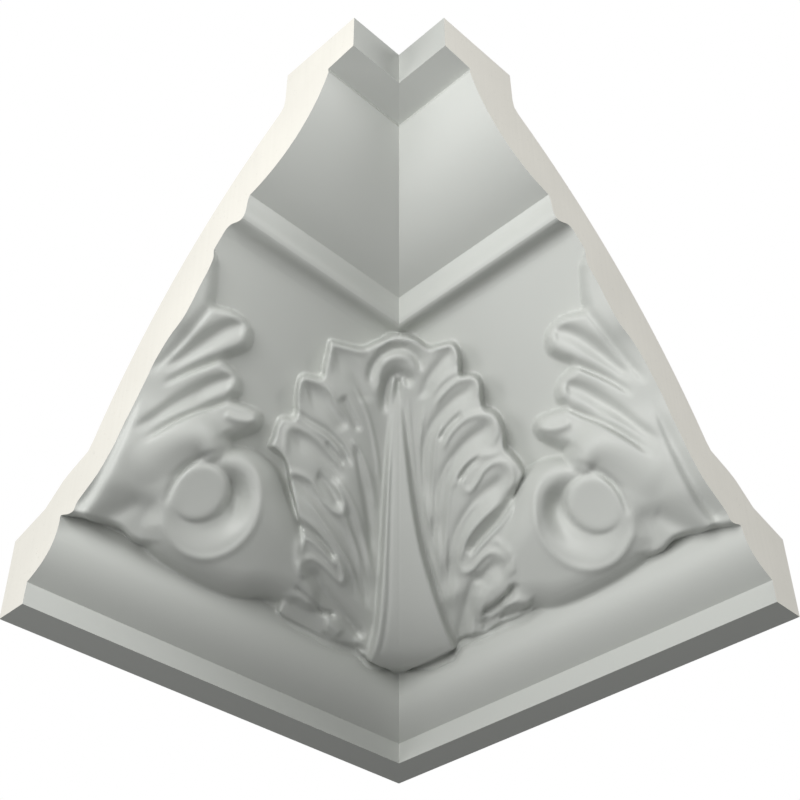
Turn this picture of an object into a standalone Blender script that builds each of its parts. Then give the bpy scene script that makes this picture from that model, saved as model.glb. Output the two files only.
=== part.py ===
"""Inside corner moulding: one casting, two legs of a carved crown moulding that meet in a room's
inside corner, with an acanthus leaf over the mitre and a scroll on each leg.

Sizes below are in millimetres and become metres where the mesh is made. A section is drawn in
p (out from the wall) and z (up from the lower edge). The face runs at 45 degrees, so the carving
is drawn on it in x (across the corner), u (up the face) and n (out of the face).
"""
import math

import bmesh
import bpy
import numpy as np

MM = 0.001
ROOT2 = math.sqrt(2)

# Driving sizes of the moulding
LENGTH = 147.0            # each leg, from the corner line of the walls to the square cut
PROJECTION = 130.0        # out along the ceiling
DROP = 130.3              # down the wall
FIELD = -2.05             # plain face between the lower roll and the bead, measured along n
CEILING_INNER = 103.2     # back edge of the flat that touches the ceiling
WALL_FLAT = 24.0          # height of the flat that touches the wall
BACK_CENTRE = (206.0, -51.0)
BACK_RADIUS = 196.8
UPPER_CENTRE = (83.0, 130.3)
UPPER_RADIUS = 40.2

# The carving
FOOT = FIELD - 1.5        # where the carving's skirts meet the ground, a little below the field
CORNER_ROUND = 6.0        # radius at which the leaf bridges the mitre
CORNER_SINK = 1.2
SIDE_FACE = 4.0           # mean height of the scrolls, on which their run along the leg is measured
LEFT_LATE = 3.2           # the left scroll sits this much further from the corner
LEFT_HIGH = 2.4           # and this much higher than the right one

# The mesh
COLUMNS = 100             # on each leg
ROW_STEP = 1.1            # in the carved zone
CARVED_FROM, CARVED_TO = 26.0, 122.0
END_PASSES = 30           # to settle where the face meets the square cut
TRIANGLES = 8600
OFF_THE_LEG = -1000.0     # a run that no tool reaches


def bezier(points, steps=20):
    """Points on the curve that the control points pull; extra columns follow along."""
    p = np.repeat(np.asarray(points, float)[None], steps + 1, axis=0)
    t = np.linspace(0, 1, steps + 1)[:, None, None]
    while p.shape[1] > 1:
        p = p[:, :-1] * (1 - t) + p[:, 1:] * t
    return p[:, 0]


def arc(centre, radius, start, end, steps):
    angles = np.linspace(start, end, steps + 1)
    return np.column_stack([centre[0] + radius * np.cos(angles), centre[1] + radius * np.sin(angles)])


def closed_curve(points, per_span=8):
    """A smooth closed outline through the points."""
    p = np.asarray(points, float)
    p = np.vstack([p[-1], p, p[0], p[1]])
    t = (np.arange(per_span) / per_span)[:, None]
    spans = [0.5 * (2 * b + (c - a) * t + (2 * a - 5 * b + 4 * c - d) * t ** 2 + (3 * b - a - 3 * c + d) * t ** 3)
             for a, b, c, d in zip(p, p[1:], p[2:], p[3:])]
    return np.vstack(spans)


def smooth_max(a, b, width):
    near = np.clip(width - np.abs(a - b), 0.0, None) / width
    return np.maximum(a, b) + near * near * width / 4


def smooth_step(x, low, high):
    t = np.clip((x - low) / (high - low), 0.0, 1.0)
    return t * t * (3 - 2 * t)


def face_profile():
    """The room side of the section in p and z, from the wall's lower edge to the ceiling's outer edge."""
    fillet = (10.85, 6.45)
    field_low, field_high = (21.85, 24.75), (80.1, 83.0)
    fillet_high = (91.0, 90.9)
    soffit_in = (120.3, 115.9)
    start = math.atan2(fillet_high[1] - UPPER_CENTRE[1], fillet_high[0] - UPPER_CENTRE[0])
    end = math.atan2(soffit_in[1] - UPPER_CENTRE[1], soffit_in[0] - UPPER_CENTRE[0])
    runs = [[(0, 0), (10.75, 0)],
            bezier([fillet, (17.2, 9.2), (21.3, 12.6), (21.85, 19.3)], 14),
            [field_low],
            bezier([field_high, (81.5, 84.5), (82.5, 85.3), (84.2, 84.8)], 6),
            bezier([(84.2, 84.8), (86.0, 84.2), (88.6, 82.2), (89.6, 85.2)], 8)[1:],
            bezier([(89.6, 85.2), (90.2, 87.2), (89.9, 89.4), fillet_high], 5)[1:-1],
            arc(UPPER_CENTRE, UPPER_RADIUS, start, end, 20),
            [(120.2, 117.3), (129.95, 118.1), (PROJECTION, DROP)]]
    return np.vstack([np.asarray(run, float) for run in runs])


def back_profile():
    """The hidden side of the section, from the ceiling's back edge down to the wall's flat."""
    top, bottom = (100.7, 115.3), (32.0, 40.5)
    start = math.atan2(top[1] - BACK_CENTRE[1], top[0] - BACK_CENTRE[0])
    end = math.atan2(bottom[1] - BACK_CENTRE[1], bottom[0] - BACK_CENTRE[0])
    runs = [[(CEILING_INNER, DROP), (103.0, 119.6), (102.5, 117.0)],
            arc(BACK_CENTRE, BACK_RADIUS, start, end, 12),
            [(30.1, 38.2), (22.8, 35.3), (20.0, 33.9), (13.0, 28.1), (0.8, WALL_FLAT + 0.2), (0, WALL_FLAT)]]
    return np.vstack([np.asarray(run, float) for run in runs])


def to_face(p, z):
    return (p + z) / ROOT2, (p - z) / ROOT2


class Carving:
    """Heights n over the face, worked with a few tools. Places are (x, u) in millimetres."""

    def __init__(self, x, u, ground):
        self.corner_x, self.face_u = x, u
        self.n = ground.copy()
        self.on_leaf(1)

    def on_leaf(self, side):
        """Draw on the corner, or on its mirror image with side -1."""
        self.x, self.u = self.corner_x * side, self.face_u

    def on_leg(self, side, late=0.0, high=0.0):
        """Draw on one leg, with x as the run from the corner line of the walls. A shift later along the
        leg and higher up it fades towards the top, where both sides are alike."""
        run = ROOT2 * self.corner_x * side + (self.face_u + SIDE_FACE) / ROOT2
        fade = smooth_step(self.face_u, 55, 95)
        self.x = np.where(self.corner_x * side > 0, run - late * (1 - 0.65 * fade), OFF_THE_LEG)
        self.u = self.face_u - high * (1 - 0.55 * fade)

    def window(self, points, margin):
        low, high = points[:, :2].min(axis=0) - margin, points[:, :2].max(axis=0) + margin
        return (self.x > low[0]) & (self.x < high[0]) & (self.u > low[1]) & (self.u < high[1])

    def stroke(self, points, reach):
        """Where a stroke acts: the side and distance in half widths, the share of its length, its height."""
        path = bezier(points)
        here = self.window(path, reach * path[:, 2].max() + 0.5)
        x, u = self.x[here], self.u[here]
        nearest, side, share = np.full(x.shape, 1e9), np.ones(x.shape), np.zeros(x.shape)
        width, height = np.ones(x.shape), np.zeros(x.shape)
        for step, (a, b) in enumerate(zip(path, path[1:])):
            ex, eu = b[:2] - a[:2]
            t = np.clip(((x - a[0]) * ex + (u - a[1]) * eu) / (ex * ex + eu * eu), 0, 1)
            dx, du = x - a[0] - t * ex, u - a[1] - t * eu
            distance = np.hypot(dx, du)
            closer = distance < nearest
            nearest = np.where(closer, distance, nearest)
            side = np.where(closer, np.where(ex * du >= eu * dx, 1.0, -1.0), side)
            share = np.where(closer, (step + t) / (len(path) - 1), share)
            width = np.where(closer, a[2] + t * (b[2] - a[2]), width)
            height = np.where(closer, a[3] + t * (b[3] - a[3]), height)
        return here, side * nearest / width, share, height

    def plate(self, outline, edge, tops, spread, blend, foot=FOOT, power=2.0):
        """A raised mass inside a closed outline, with a round edge and given heights here and there."""
        outline = closed_curve(outline)
        here = self.window(outline, 0.0)
        x, u = self.x[here], self.u[here]
        depth, within = np.full(x.shape, 1e9), np.zeros(x.shape, bool)
        for a, b in zip(outline, np.roll(outline, -1, axis=0)):
            ex, eu = b - a
            t = np.clip(((x - a[0]) * ex + (u - a[1]) * eu) / (ex * ex + eu * eu), 0, 1)
            depth = np.minimum(depth, np.hypot(x - a[0] - t * ex, u - a[1] - t * eu))
            if eu:
                within ^= ((a[1] > u) != (b[1] > u)) & (x < (u - a[1]) * ex / eu + a[0])
        total, weight = np.zeros(x.shape), np.full(x.shape, 1e-12)
        for top_x, top_u, top in tops:
            share = np.exp(-((x - top_x) ** 2 + (u - top_u) ** 2) / (2 * spread ** 2))
            total, weight = total + share * top, weight + share
        rise = (1 - (1 - np.clip(depth / edge, 0, 1)) ** power) ** (1 / power)
        body = foot + (total / weight - foot) * rise
        self.n[here] = np.where(within, smooth_max(self.n[here], body, blend), self.n[here])

    def swell(self, points, edge, blend):
        """A rounded mass along a stroke of x, u, half width and top."""
        here, q, _, top = self.stroke(points, 1)
        body = FOOT + (top - FOOT) * np.sqrt(np.clip(1 - np.abs(q) ** edge, 0, 1))
        self.n[here] = np.where(np.abs(q) < 1, smooth_max(self.n[here], body, blend), self.n[here])

    def cut(self, points, left=1.0, right=1.0, power=2.0):
        """A groove along a stroke of x, u, half width and depth, wider to one side if asked."""
        here, q, share, depth = self.stroke(points, 2.6 * max(left, right))
        q = np.abs(np.where(q > 0, q / left, q / right))
        ends = smooth_step(share, -0.02, 0.14) * smooth_step(1 - share, -0.02, 0.14)
        self.n[here] -= depth * ends * np.exp(-q ** power)

    def rise(self, points):
        """A soft ridge, the reverse of a cut."""
        self.cut([(x, u, half, -height) for x, u, half, height in points])

    def scoop(self, root, knee, tip, radius, depth, upper):
        """The hollow of one leaf lobe, from the rib round the knee to the tip, steep on its upper side."""
        q = radius
        self.cut([((root[0] + knee[0]) / 2, (root[1] + knee[1]) / 2, 0.25 * q, 0.2 * depth),
                  (knee[0] + 0.1 * q, knee[1] + 0.35 * q, 0.4 * q, depth),
                  (tip[0] - 0.2 * q, tip[1] + 0.65 * q, 0.55 * q, 1.5 * depth),
                  (tip[0] + 0.6 * q, tip[1] - 0.25 * q, 0.4 * q, 0.5 * depth)],
                 left=upper, right=2.1 - upper, power=2.2)

    def hollow(self, centre, radius, deep, spread, shallow, depth):
        """A round dish, deepest near one place."""
        inward = radius - np.hypot(self.x - centre[0], self.u - centre[1])
        share = np.exp(-((self.x - deep[0]) ** 2 + (self.u - deep[1]) ** 2) / spread ** 2)
        self.n -= (shallow + (depth - shallow) * share) * smooth_step(inward, -0.8, 5.0)

    def dome(self, centre, radius, low, high):
        q = np.hypot(self.x - centre[0], self.u - centre[1]) / radius
        body = low + (high - low) * np.sqrt(np.clip(1 - q ** 3, 0, 1))
        self.n = np.where(q < 1, smooth_max(self.n, body, 0.8), self.n)


# Outlines as (x, u), tops as (x, u, n). On a leg x is the run from the corner line of the walls.
STEM = [(112, 36), (120, 31), (125, 30.4), (130, 31.8), (135, 31.0), (140, 30.4), (158, 29.0), (166, 60),
        (160, 112), (149, 109.5), (146, 106), (143.2, 101), (141.6, 98), (136.5, 99.2), (131.5, 99.0),
        (127.8, 97), (126.2, 93.6), (127.4, 90.2), (130.0, 86.6), (126, 85.3), (122.6, 83.6), (120.9, 80.6),
        (121.4, 78.0), (116, 78.8), (112, 78.6), (110.0, 76), (110.8, 72.5), (113.4, 68.5), (116, 65.2),
        (112, 58), (110, 48)]
STEM_TOPS = [(125, 34, 4.5), (125, 50, 7.5), (122, 62, 7.5), (130, 36, 4.6), (132, 50, 7.6), (132, 60, 6.4),
             (138, 35, 7.5), (140, 42, 10.4), (140, 50, 9.4), (140, 60, 6.4), (147, 38, 6.5), (147, 50, 6.8),
             (147, 60, 5), (141, 70, 3.6), (147, 70, 2.4), (147, 80, 1.3), (140, 82, 2.2), (147, 93, 3.6),
             (143, 100, 2.0), (147, 104, 1.5), (132, 93, 2.6), (126, 79, 2.8), (115, 74, 3.4)]
SCROLL = [(60, 46), (70, 52.0), (80, 57), (90, 62.0), (97, 66.4), (104, 68.0), (111, 67.2), (116.6, 63.8),
          (121.4, 58.0), (125, 50), (127, 42), (126.0, 34), (119, 29.5), (110, 27.8), (100, 27.2), (92, 27.4),
          (86, 28.6), (80, 31.5), (72, 33), (60, 34)]
SCROLL_TOPS = [(75, 45, 6), (88, 47, 9.8), (90, 34, 6.5), (105, 50, 11.0), (105, 38, 9.5), (105, 30, 6.0),
               (118, 34, 6.0), (118, 55, 9.5), (108, 64, 8.6)]
LEAF_RIGHT = [(0, 121), (4, 119), (8, 115.2), (10, 113.3), (12.5, 111.6), (15.6, 110.2), (17.8, 107),
              (18.6, 103), (18.4, 100.9), (21.3, 99.8), (23.6, 97), (24.4, 93), (24.1, 90.2), (27, 88.7),
              (29.7, 85), (30.7, 80.5), (30.3, 77.2), (32.8, 74.5), (35.0, 70), (35.6, 66.6), (33, 62),
              (32.5, 55), (32.8, 47), (33.5, 42), (37, 38), (41.5, 33), (38, 29.8), (30, 30.3), (25, 29.9),
              (19.5, 31.4), (16.5, 29.8), (13, 28.6), (8, 29.4), (4, 31), (0, 32.6)]
LEAF_LEFT = [(-5, 32.2), (-15, 31.6), (-25, 30.6), (-33, 31.6), (-36.6, 33.5), (-35.4, 38), (-31.5, 41.5),
             (-29.8, 44), (-30.0, 48), (-29.5, 53), (-30.4, 60), (-32, 66), (-33.5, 71.3), (-37.4, 72.4),
             (-35.8, 77.5), (-34.2, 81.6), (-32, 84.4), (-29.6, 85.4), (-29.9, 89), (-29.0, 94.4),
             (-26, 97.2), (-22.8, 98.8), (-22.2, 100.5), (-21.2, 104.5), (-20, 108.4), (-15.5, 110.4),
             (-12, 111.6), (-10, 113.3), (-8, 115.2), (-4, 119)]
LEAF_TOPS = [(0, 112, 6.5), (12, 106, 4.6), (18, 95, 4.9), (24, 83, 5.2), (29, 70, 5.6), (12, 85, 6.2),
             (13, 65, 7.4), (26, 56, 7.6), (27, 47, 8.0), (16, 47, 8.4), (16, 38, 6.2), (15, 31, 4.5),
             (26, 38, 6.4), (28, 31, 4.4), (38, 32, 3.0), (-16, 103, 4.6), (-24, 91, 4.9), (-29, 79, 5.2),
             (-27, 67, 5.8), (-12, 85, 6.2), (-13, 65, 7.4), (-24, 56, 7.6), (-24, 49, 8.0), (-14, 46, 8.4),
             (-14, 39, 6.2), (-15, 32, 4.5), (-28, 38, 5.6), (-28, 32, 4.2)]
RIB = [(-9.8, 31.2), (-8.6, 35), (-7.2, 42), (-6.0, 52), (-4.7, 65), (-3.8, 80), (-3.0, 94), (-1.4, 105),
       (0, 107.6), (1.0, 105), (1.7, 95), (3.0, 82), (4.6, 69), (7.2, 56), (10.6, 45), (14.6, 36.5),
       (17.0, 31.0), (14, 28.5), (9, 28.8), (4, 31), (0, 32.6), (-4, 31.8)]
RIB_TOPS = [(0, 104, 6.8), (0, 90, 8.6), (0.5, 75, 10.0), (1.2, 62, 11.0), (2.5, 52, 11.2), (3, 44, 10.0),
            (3.5, 38, 8.0), (4, 32, 5.6), (10, 31, 5.6), (-6, 34, 6.4)]

# Leaf lobes from the top down, each with root, knee, tip centre, radius and depth of its scoop
LOBES_RIGHT = [((3.0, 82), (4.6, 103), (12.6, 104.8), 5.7, 1.7),
               ((6.0, 70), (8.0, 93.5), (18.0, 93.8), 6.2, 2.2),
               ((8.5, 58), (11.0, 82.0), (23.0, 82.0), 7.2, 2.4),
               ((12.0, 46), (13.5, 69.0), (29.0, 69.2), 6.6, 2.8)]
LOBES_LEFT = [((4.0, 82), (7.0, 101), (15.4, 103.8), 5.9, 0.9),
              ((6.5, 70), (9.0, 89.0), (23.0, 91.0), 6.6, 1.5),
              ((8.0, 58), (12.0, 77.0), (29.5, 78.4), 6.8, 1.2),
              ((9.5, 46), (12.0, 64.0), (26.5, 66.4), 6.2, 2.6)]

# Strokes of the gouge as (x, u, half width, depth), each a smooth curve pulled by its points
FOLDS_RIGHT = [
    [(17.0, 49.5, 0.9, 1.2), (18.5, 60, 2.0, 5.5), (30, 60, 2.4, 5.5), (37.5, 66.5, 1.3, 1.5)],
    [(10.8, 85.5, 0.8, 0.8), (13.8, 90.2, 1.2, 3.4), (19, 89.6, 1.0, 1.6), (25.5, 89.4, 0.8, 1.2)],
    [(15.4, 72.8, 0.8, 0.8), (18.6, 77.6, 1.2, 3.6), (24, 77.2, 1.0, 1.6), (31.5, 76.8, 0.8, 1.2)],
    [(22.0, 36.4, 1.0, 1.5), (27, 38.2, 1.6, 7), (34.6, 36.2, 1.5, 6.0), (35, 44, 1.0, 1.5)],
    [(1.0, 107, 0.8, 1.0), (3.0, 78, 1.2, 2.6), (7, 54, 1.7, 3.6), (18, 29, 1.9, 2.8)],
    [(6.0, 97, 0.9, 0.5), (3.4, 82, 0.9, 1.6), (6.8, 60, 0.9, 1.6), (15.6, 40, 0.8, 0.6)],
    [(10.4, 86, 0.9, 0.5), (6.2, 74, 0.9, 1.6), (9.4, 62, 0.9, 1.6), (14.2, 44, 0.8, 0.6)],
    [(14.2, 79.5, 0.9, 0.5), (8.6, 68, 0.9, 1.6), (11.4, 56, 0.8, 1.4), (15.2, 42, 0.8, 0.5)],
    [(17.2, 64, 1.0, 0.5), (13.4, 56, 1.0, 2.0), (14.6, 48, 1.0, 1.6), (16.5, 41, 1.0, 1.0)],
]
FOLDS_LEFT = [
    [(9.0, 95, 1.0, 0.5), (6.2, 84, 1.1, 2.0), (6.8, 68, 1.0, 1.6), (9.4, 50, 0.9, 0.6)],
    [(14.0, 81, 1.0, 0.5), (9.0, 72, 1.0, 2.0), (9.2, 60, 1.0, 1.6), (10.2, 50, 1.0, 0.8)],
    [(16.0, 71, 1.2, 0.8), (12.0, 62, 1.7, 2.6), (10.6, 54, 1.4, 2.2), (10.4, 44, 1.0, 0.8)],
    [(21.5, 62, 0.8, 0.6), (16.4, 58.6, 0.9, 1.4), (13.6, 54, 0.9, 1.4), (12.2, 46, 0.8, 0.7)],
    [(11, 81.8, 0.9, 0.8), (15.5, 85.6, 1.1, 3.0), (22, 85.2, 1.2, 3.0), (32, 85.2, 1.0, 1.6)],
    [(16.5, 56.0, 1.0, 0.8), (22, 58.4, 1.8, 3.6), (27, 58.2, 2.2, 5.0), (33, 60.5, 1.9, 2.5)],
    [(17.8, 38.6, 0.9, 1.0), (23, 39.2, 1.3, 5.5), (28, 43.0, 1.2, 3.6), (34, 40, 1.0, 1.2)],
    [(11.5, 94.5, 1.0, 0.6), (15, 96.6, 1.6, 3.4), (19, 93.0, 1.2, 0.6)],
    [(16.5, 70.0, 0.9, 0.8), (20, 72.3, 1.7, 3.6), (24, 74.4, 1.3, 1.0)],
]
RIDGES_LEFT = [
    [(12.5, 51, 0.7, 0.4), (16, 61, 0.8, 1.3), (28, 67.5, 0.7, 0.4)],
    [(15.4, 47, 0.9, 0.4), (16, 57.6, 0.9, 1.4), (23, 57.0, 0.8, 0.5)],
    [(11, 76.5, 0.9, 0.4), (13.5, 82.5, 1.1, 1.4), (15.4, 85, 0.8, 0.4)],
    [(13.5, 65, 0.9, 0.5), (16.6, 67.8, 1.1, 1.8), (21.5, 68.2, 0.9, 0.8)],
    [(15.5, 37.8, 2.0, 0.8), (20, 36.8, 2.6, 2.6), (24, 36.3, 1.8, 0.6)],
]
RIB_LINES = [
    [(-4.6, 97, 1.0, 0.8), (-5.4, 76, 1.3, 2.4), (-7.2, 56, 1.5, 3.4), (-10.0, 32, 1.8, 2.8)],
    [(-1.0, 105, 0.6, 0.5), (-3.2, 82, 0.8, 1.4), (-3.6, 60, 0.9, 1.4), (-7.8, 34, 0.9, 1.0)],
]
CURL = [
    [(-9.0, 101, 1.0, 1.2), (-8.0, 112.5, 1.3, 3.0), (-1, 115.5, 1.2, 1.6), (5.5, 114.5, 1.3, 3.0),
     (8.2, 104, 1.0, 1.2)],
    [(-4.6, 97, 1.2, 1.0), (-4.6, 110.4, 1.6, 4.4), (3.4, 112.2, 1.5, 4.0), (3.6, 102, 1.0, 1.0)],
    [(-11.5, 108.8, 0.8, 0.6), (-2.5, 120.2, 0.9, 1.8), (2.5, 120.2, 0.9, 1.8), (11.5, 108.8, 0.8, 0.6)],
]
SCROLL_LINES = [
    [(115.6, 62, 0.7, 1.2), (121.2, 58, 0.8, 3.2), (123.4, 49.5, 0.8, 2.2), (119.8, 43, 0.7, 0.2)],
]
STEM_LINES = [
    [(116.2, 67, 0.8, 1.5), (116.0, 62, 1.0, 3.6), (120, 59.5, 1.0, 2.4), (123.3, 50, 1.0, 0.8)],
    [(123.5, 45, 1.4, 0.2), (127, 38, 1.8, 2.4), (130.5, 30, 1.6, 4.0)],
    [(109, 73.0, 1.4, 0.6), (113.2, 67.4, 2.4, 3.8), (117.5, 66.0, 2.4, 3.8), (122.5, 72.0, 1.4, 1.2)],
    [(141.6, 99, 1.2, 0.8), (142.6, 90, 1.6, 1.6), (146.0, 72, 1.1, 0.8)],
]
LOBE_GROOVES = [
    [(120.8, 79, 0.9, 0.8), (125, 72.6, 1.1, 3.2), (131.4, 67, 1.1, 3.2), (135.4, 55.5, 0.9, 1.0)],
    [(125.8, 93, 0.9, 0.6), (130.5, 85, 1.1, 2.8), (137.4, 81.0, 1.1, 2.8), (140.4, 71, 0.8, 0.8)],
]
LOBE_SCOOPS = [
    [(123.5, 83.0, 1.4, 0.8), (131, 82.5, 2.4, 3.2), (134.5, 68, 2.0, 3.0), (139.8, 57, 1.1, 1.0)],
    [(128.5, 97.4, 1.5, 0.8), (137, 97.0, 2.4, 3.2), (139.4, 85, 2.0, 3.0), (143.4, 75, 1.1, 0.8)],
]


def carve_scroll(carving):
    """The stem with its turned-out lobes, and the scroll that curls over its foot."""
    carving.plate(STEM, 2.6, STEM_TOPS, 4.5, 0.8)
    carving.plate(SCROLL, 10.0, SCROLL_TOPS, 8.0, 2.4)
    carving.hollow((108.0, 50.0), 15.0, (104, 57.0), 9.5, 1.6, 6.4)
    carving.dome((113.4, 51.2), 8.6, 3.6, 8.2)
    for line in SCROLL_LINES:
        carving.cut(line)
    carving.swell([(119.0, 62, 4.2, 8.4), (125, 67.5, 9, 9.0), (131, 52, 10, 8.2)], 2.0, 2.5)
    for line in STEM_LINES:
        carving.cut(line)
    carving.rise([(110.6, 77, 1.2, 0.8), (114.5, 72.6, 1.5, 1.8), (121, 73.4, 1.2, 0.6)])
    for groove, scoop in zip(LOBE_GROOVES, LOBE_SCOOPS):
        carving.cut(groove, left=1.4, right=0.8)
        carving.cut(scoop, left=0.8, right=1.6)
    carving.cut([(145.4, 66, 1.0, 0.6), (144.0, 48, 1.6, 3.4), (144.2, 38, 1.6, 4.0), (147.5, 30, 1.4, 2.0)],
                left=1.0, right=1.4)


def carve_leaf(carving):
    """The acanthus leaf over the corner: its two halves, the rib and the curl at the top."""
    carving.on_leaf(1)
    carving.plate(LEAF_RIGHT + LEAF_LEFT, 3.0, LEAF_TOPS, 5.5, 1.0)
    for root, knee, tip, radius, depth in LOBES_RIGHT:
        carving.scoop(root, knee, tip, radius, depth, 0.7)
    for fold in FOLDS_RIGHT:
        carving.cut(fold)
    carving.cut([(24.5, 51.5, 1.2, 1.2), (20.5, 48, 2.4, 4.8), (20.0, 40, 2.2, 4.2), (17.5, 33, 1.5, 2.0)],
                left=1.0, right=2.2)
    carving.rise([(29.5, 37.5, 1.6, 0.6), (33.5, 36.5, 2.6, 3.6), (37, 33.0, 1.6, 0.6)])
    carving.on_leaf(-1)
    for root, knee, tip, radius, depth in LOBES_LEFT:
        carving.scoop(root, knee, tip, radius, depth, 0.8)
    for fold in FOLDS_LEFT:
        carving.cut(fold)
    carving.cut([(21, 51.4, 1.2, 1.0), (16.5, 49, 2.4, 3.8), (17.6, 43, 2.6, 4.6), (12.5, 37, 2.0, 2.2)],
                left=1.0, right=1.8)
    for ridge in RIDGES_LEFT:
        carving.rise(ridge)
    carving.on_leaf(1)
    carving.plate(RIB, 7.0, RIB_TOPS, 5.0, 0.6, foot=2.5, power=1.8)
    for line in RIB_LINES + CURL:
        carving.cut(line)


def face_height(x, u):
    """n of the finished face at each x and u."""
    p, z = face_profile().T
    ground = np.interp(u, *to_face(p, z))
    carving = Carving(x, u, ground)
    carving.on_leg(1)
    carve_scroll(carving)
    carving.on_leg(-1, LEFT_LATE, LEFT_HIGH)
    carve_scroll(carving)
    bridge = np.sqrt(x * x + CORNER_ROUND ** 2) - np.abs(x) - CORNER_SINK
    carving.n -= bridge
    carve_leaf(carving)
    return np.maximum(carving.n + bridge, ground)


def face_rows():
    """u of each row: every corner of the section, and even steps through the carving."""
    section = to_face(*face_profile().T)[0]
    even = np.arange(CARVED_FROM, CARVED_TO, ROW_STEP)
    apart = np.abs(even[:, None] - section[None]).min(axis=1) > ROW_STEP / 3
    return np.sort(np.concatenate([section, even[apart]]))


def face_grid():
    """x, u and n of the face, from the left cut to the right one, with a column on the mitre."""
    rows = face_rows()
    half = np.linspace(0, 1, COLUMNS + 1)
    share = np.concatenate([-half[:0:-1], half])
    n_left = n_right = np.interp(rows, *to_face(*face_profile().T))
    for _ in range(END_PASSES):
        end_left = LENGTH / ROOT2 - (rows + n_left) / 2
        end_right = LENGTH / ROOT2 - (rows + n_right) / 2
        ends = face_height(np.stack([-end_left, end_right]), np.stack([rows, rows]))
        n_left, n_right = (n_left + ends[0]) / 2, (n_right + ends[1]) / 2
    end_left = LENGTH / ROOT2 - (rows + n_left) / 2
    end_right = LENGTH / ROOT2 - (rows + n_right) / 2
    x = np.where(share[None] < 0, end_left[:, None], end_right[:, None]) * share[None]
    u = np.repeat(rows[:, None], len(share), axis=1)
    n = face_height(x, u)
    n[:, 0], n[:, -1] = n_left, n_right
    return x, u, n


def place(x, p, z):
    """A point at p and z of the section and x across the corner. The part stands on z = 0 with the
    origin midway between the corner line of the walls and the foremost points of the cut ends."""
    middle = (LENGTH + PROJECTION) / ROOT2 / 2
    return x * MM, (middle - abs(x) - ROOT2 * p) * MM, z * MM


def build_mesh():
    x, u, n = face_grid()
    bm = bmesh.new()
    face = [[bm.verts.new(place(a, (b + c) / ROOT2, (b - c) / ROOT2)) for a, b, c in zip(*row)]
            for row in zip(x, u, n)]
    for low, high in zip(face, face[1:]):
        for a, b, c, d in zip(low, low[1:], high[1:], high):
            bm.faces.new((a, b, c, d))
    back = [[bm.verts.new(place(side * (LENGTH - p) / ROOT2, p, z)) for side in (-1, 0, 1)]
            for p, z in back_profile()]
    for high, low in zip(back, back[1:]):
        for side in (0, 1):
            bm.faces.new((high[side], high[side + 1], low[side + 1], low[side]))
    middle = COLUMNS
    for ends, near, far in ((slice(0, middle + 1), 0, 1), (slice(middle, None), 1, 2)):
        bm.faces.new(face[-1][ends] + [back[0][far], back[0][near]])
        bm.faces.new(face[0][ends][::-1] + [back[-1][near], back[-1][far]])
    bm.faces.new([row[-1] for row in face] + [row[2] for row in back])
    bm.faces.new([row[0] for row in face][::-1] + [row[0] for row in back][::-1])
    bmesh.ops.recalc_face_normals(bm, faces=bm.faces)
    bmesh.ops.triangulate(bm, faces=bm.faces)
    mesh = bpy.data.meshes.new("corner_moulding")
    bm.to_mesh(mesh)
    bm.free()
    return mesh


def primed_foam():
    material = bpy.data.materials.new("primed_foam")
    material.use_nodes = True
    shader = material.node_tree.nodes["Principled BSDF"]
    shader.inputs["Base Color"].default_value = (0.55, 0.56, 0.53, 1.0)
    shader.inputs["Roughness"].default_value = 0.6
    shader.inputs["Metallic"].default_value = 0.0
    return material


def main():
    for old in list(bpy.data.objects):
        bpy.data.objects.remove(old)
    mesh = build_mesh()
    mesh.materials.append(primed_foam())
    moulding = bpy.data.objects.new("corner_moulding", mesh)
    bpy.context.scene.collection.objects.link(moulding)
    fewer = moulding.modifiers.new("fewer_triangles", "DECIMATE")
    fewer.ratio = TRIANGLES / len(mesh.polygons)


main()
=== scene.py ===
"""Inside corner moulding: the carved face, the raw foam behind it and the studio stage.

The moulding is one casting. Its face is primed light grey and its cut ends and back are bare cream
foam. Sizes in the carving tables are in millimetres and become metres where the mesh is made.
"""
import math

import bmesh
import bpy
import numpy as np
from mathutils import Matrix, Vector


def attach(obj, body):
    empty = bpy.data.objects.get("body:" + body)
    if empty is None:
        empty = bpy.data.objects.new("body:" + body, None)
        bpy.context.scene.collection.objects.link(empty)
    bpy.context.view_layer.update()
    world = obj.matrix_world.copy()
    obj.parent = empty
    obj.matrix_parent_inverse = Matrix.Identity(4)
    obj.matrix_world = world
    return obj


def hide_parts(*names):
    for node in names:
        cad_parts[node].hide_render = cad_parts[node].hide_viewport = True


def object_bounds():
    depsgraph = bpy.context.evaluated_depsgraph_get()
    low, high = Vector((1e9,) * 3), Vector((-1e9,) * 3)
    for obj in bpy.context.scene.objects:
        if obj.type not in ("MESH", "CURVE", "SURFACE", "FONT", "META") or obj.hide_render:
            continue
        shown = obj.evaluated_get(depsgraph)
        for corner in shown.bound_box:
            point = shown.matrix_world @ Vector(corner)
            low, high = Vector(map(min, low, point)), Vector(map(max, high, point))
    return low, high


bl_info = {
    "name": "Carved corner moulding",
    "version": (1, 0, 0),
    "blender": (4, 5, 0),
    "location": "3D View > Sidebar > Moulding",
    "description": "An inside corner of carved crown moulding with an acanthus leaf and two scrolls",
    "category": "Object",
}

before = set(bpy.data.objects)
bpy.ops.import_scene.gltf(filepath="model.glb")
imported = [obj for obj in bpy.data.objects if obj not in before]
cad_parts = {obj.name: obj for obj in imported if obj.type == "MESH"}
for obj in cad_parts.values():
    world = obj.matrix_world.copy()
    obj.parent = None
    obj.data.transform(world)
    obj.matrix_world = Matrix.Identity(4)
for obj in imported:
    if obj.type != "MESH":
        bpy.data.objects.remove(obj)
CAD_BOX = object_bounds()

MM = 0.001
ROOT2 = math.sqrt(2)

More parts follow.
